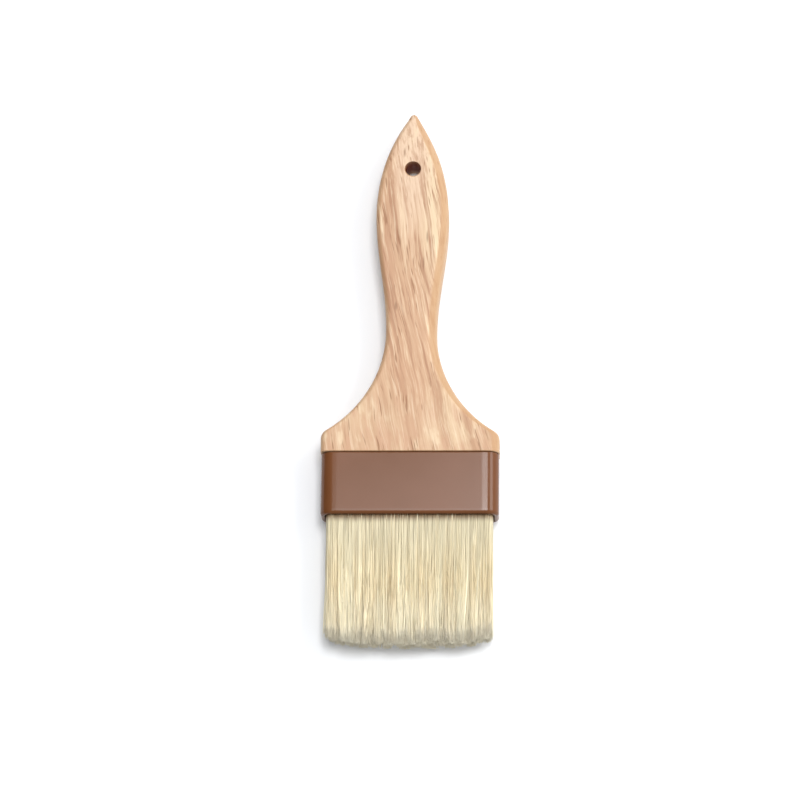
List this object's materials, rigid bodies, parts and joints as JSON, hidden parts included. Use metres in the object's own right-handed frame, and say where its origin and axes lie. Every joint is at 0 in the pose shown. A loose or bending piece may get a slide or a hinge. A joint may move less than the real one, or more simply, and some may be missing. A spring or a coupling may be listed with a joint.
{
  "type": "pastry brush",
  "caption": "Flat pastry brush with a shaped wooden handle, a moulded plastic ferrule and straight pale bristles that flex at the ferrule.",
  "frame": {"origin": "on the table, below the middle of the brush's box, with the brush lying on its back", "axes": "+Y along the handle to its pointed tip, +Z out of the front face, +X across the brush to the right seen from the front"},
  "size_m": [0.075, 0.235, 0.017],
  "materials": {
    "handle_wood": "satin",
    "ferrule_plastic": "gloss",
    "setting_resin": "satin",
    "spacer_wood": "matte",
    "bristle_root": "matte",
    "bristle": "satin"
  },
  "bodies": {
    "handle_assembly": {"handle": "handle_wood", "ferrule": "ferrule_plastic", "resin_block": "setting_resin", "spacer_strip": "spacer_wood", "front_bristle_roots": "bristle_root", "back_bristle_roots": "bristle_root"},
    "bristle_pack": {"front_tuft_1": "bristle", "front_tuft_2": "bristle", "front_tuft_3": "bristle", "front_tuft_4": "bristle", "front_tuft_5": "bristle", "front_tuft_6": "bristle", "front_tuft_7": "bristle", "front_tuft_8": "bristle", "back_tuft_1": "bristle", "back_tuft_2": "bristle", "back_tuft_3": "bristle", "back_tuft_4": "bristle", "back_tuft_5": "bristle", "back_tuft_6": "bristle", "back_tuft_7": "bristle", "back_tuft_8": "bristle"}
  },
  "joints": [
    {"name": "bristle_flex", "type": "hinge", "parent": "handle_assembly", "child": "bristle_pack", "pos_m": [0, -0.0698, 0.0085], "axis": [-1, 0, 0], "range_deg": [-2, 35], "stiffness_Nm_per_rad": 0.5}
  ]
}
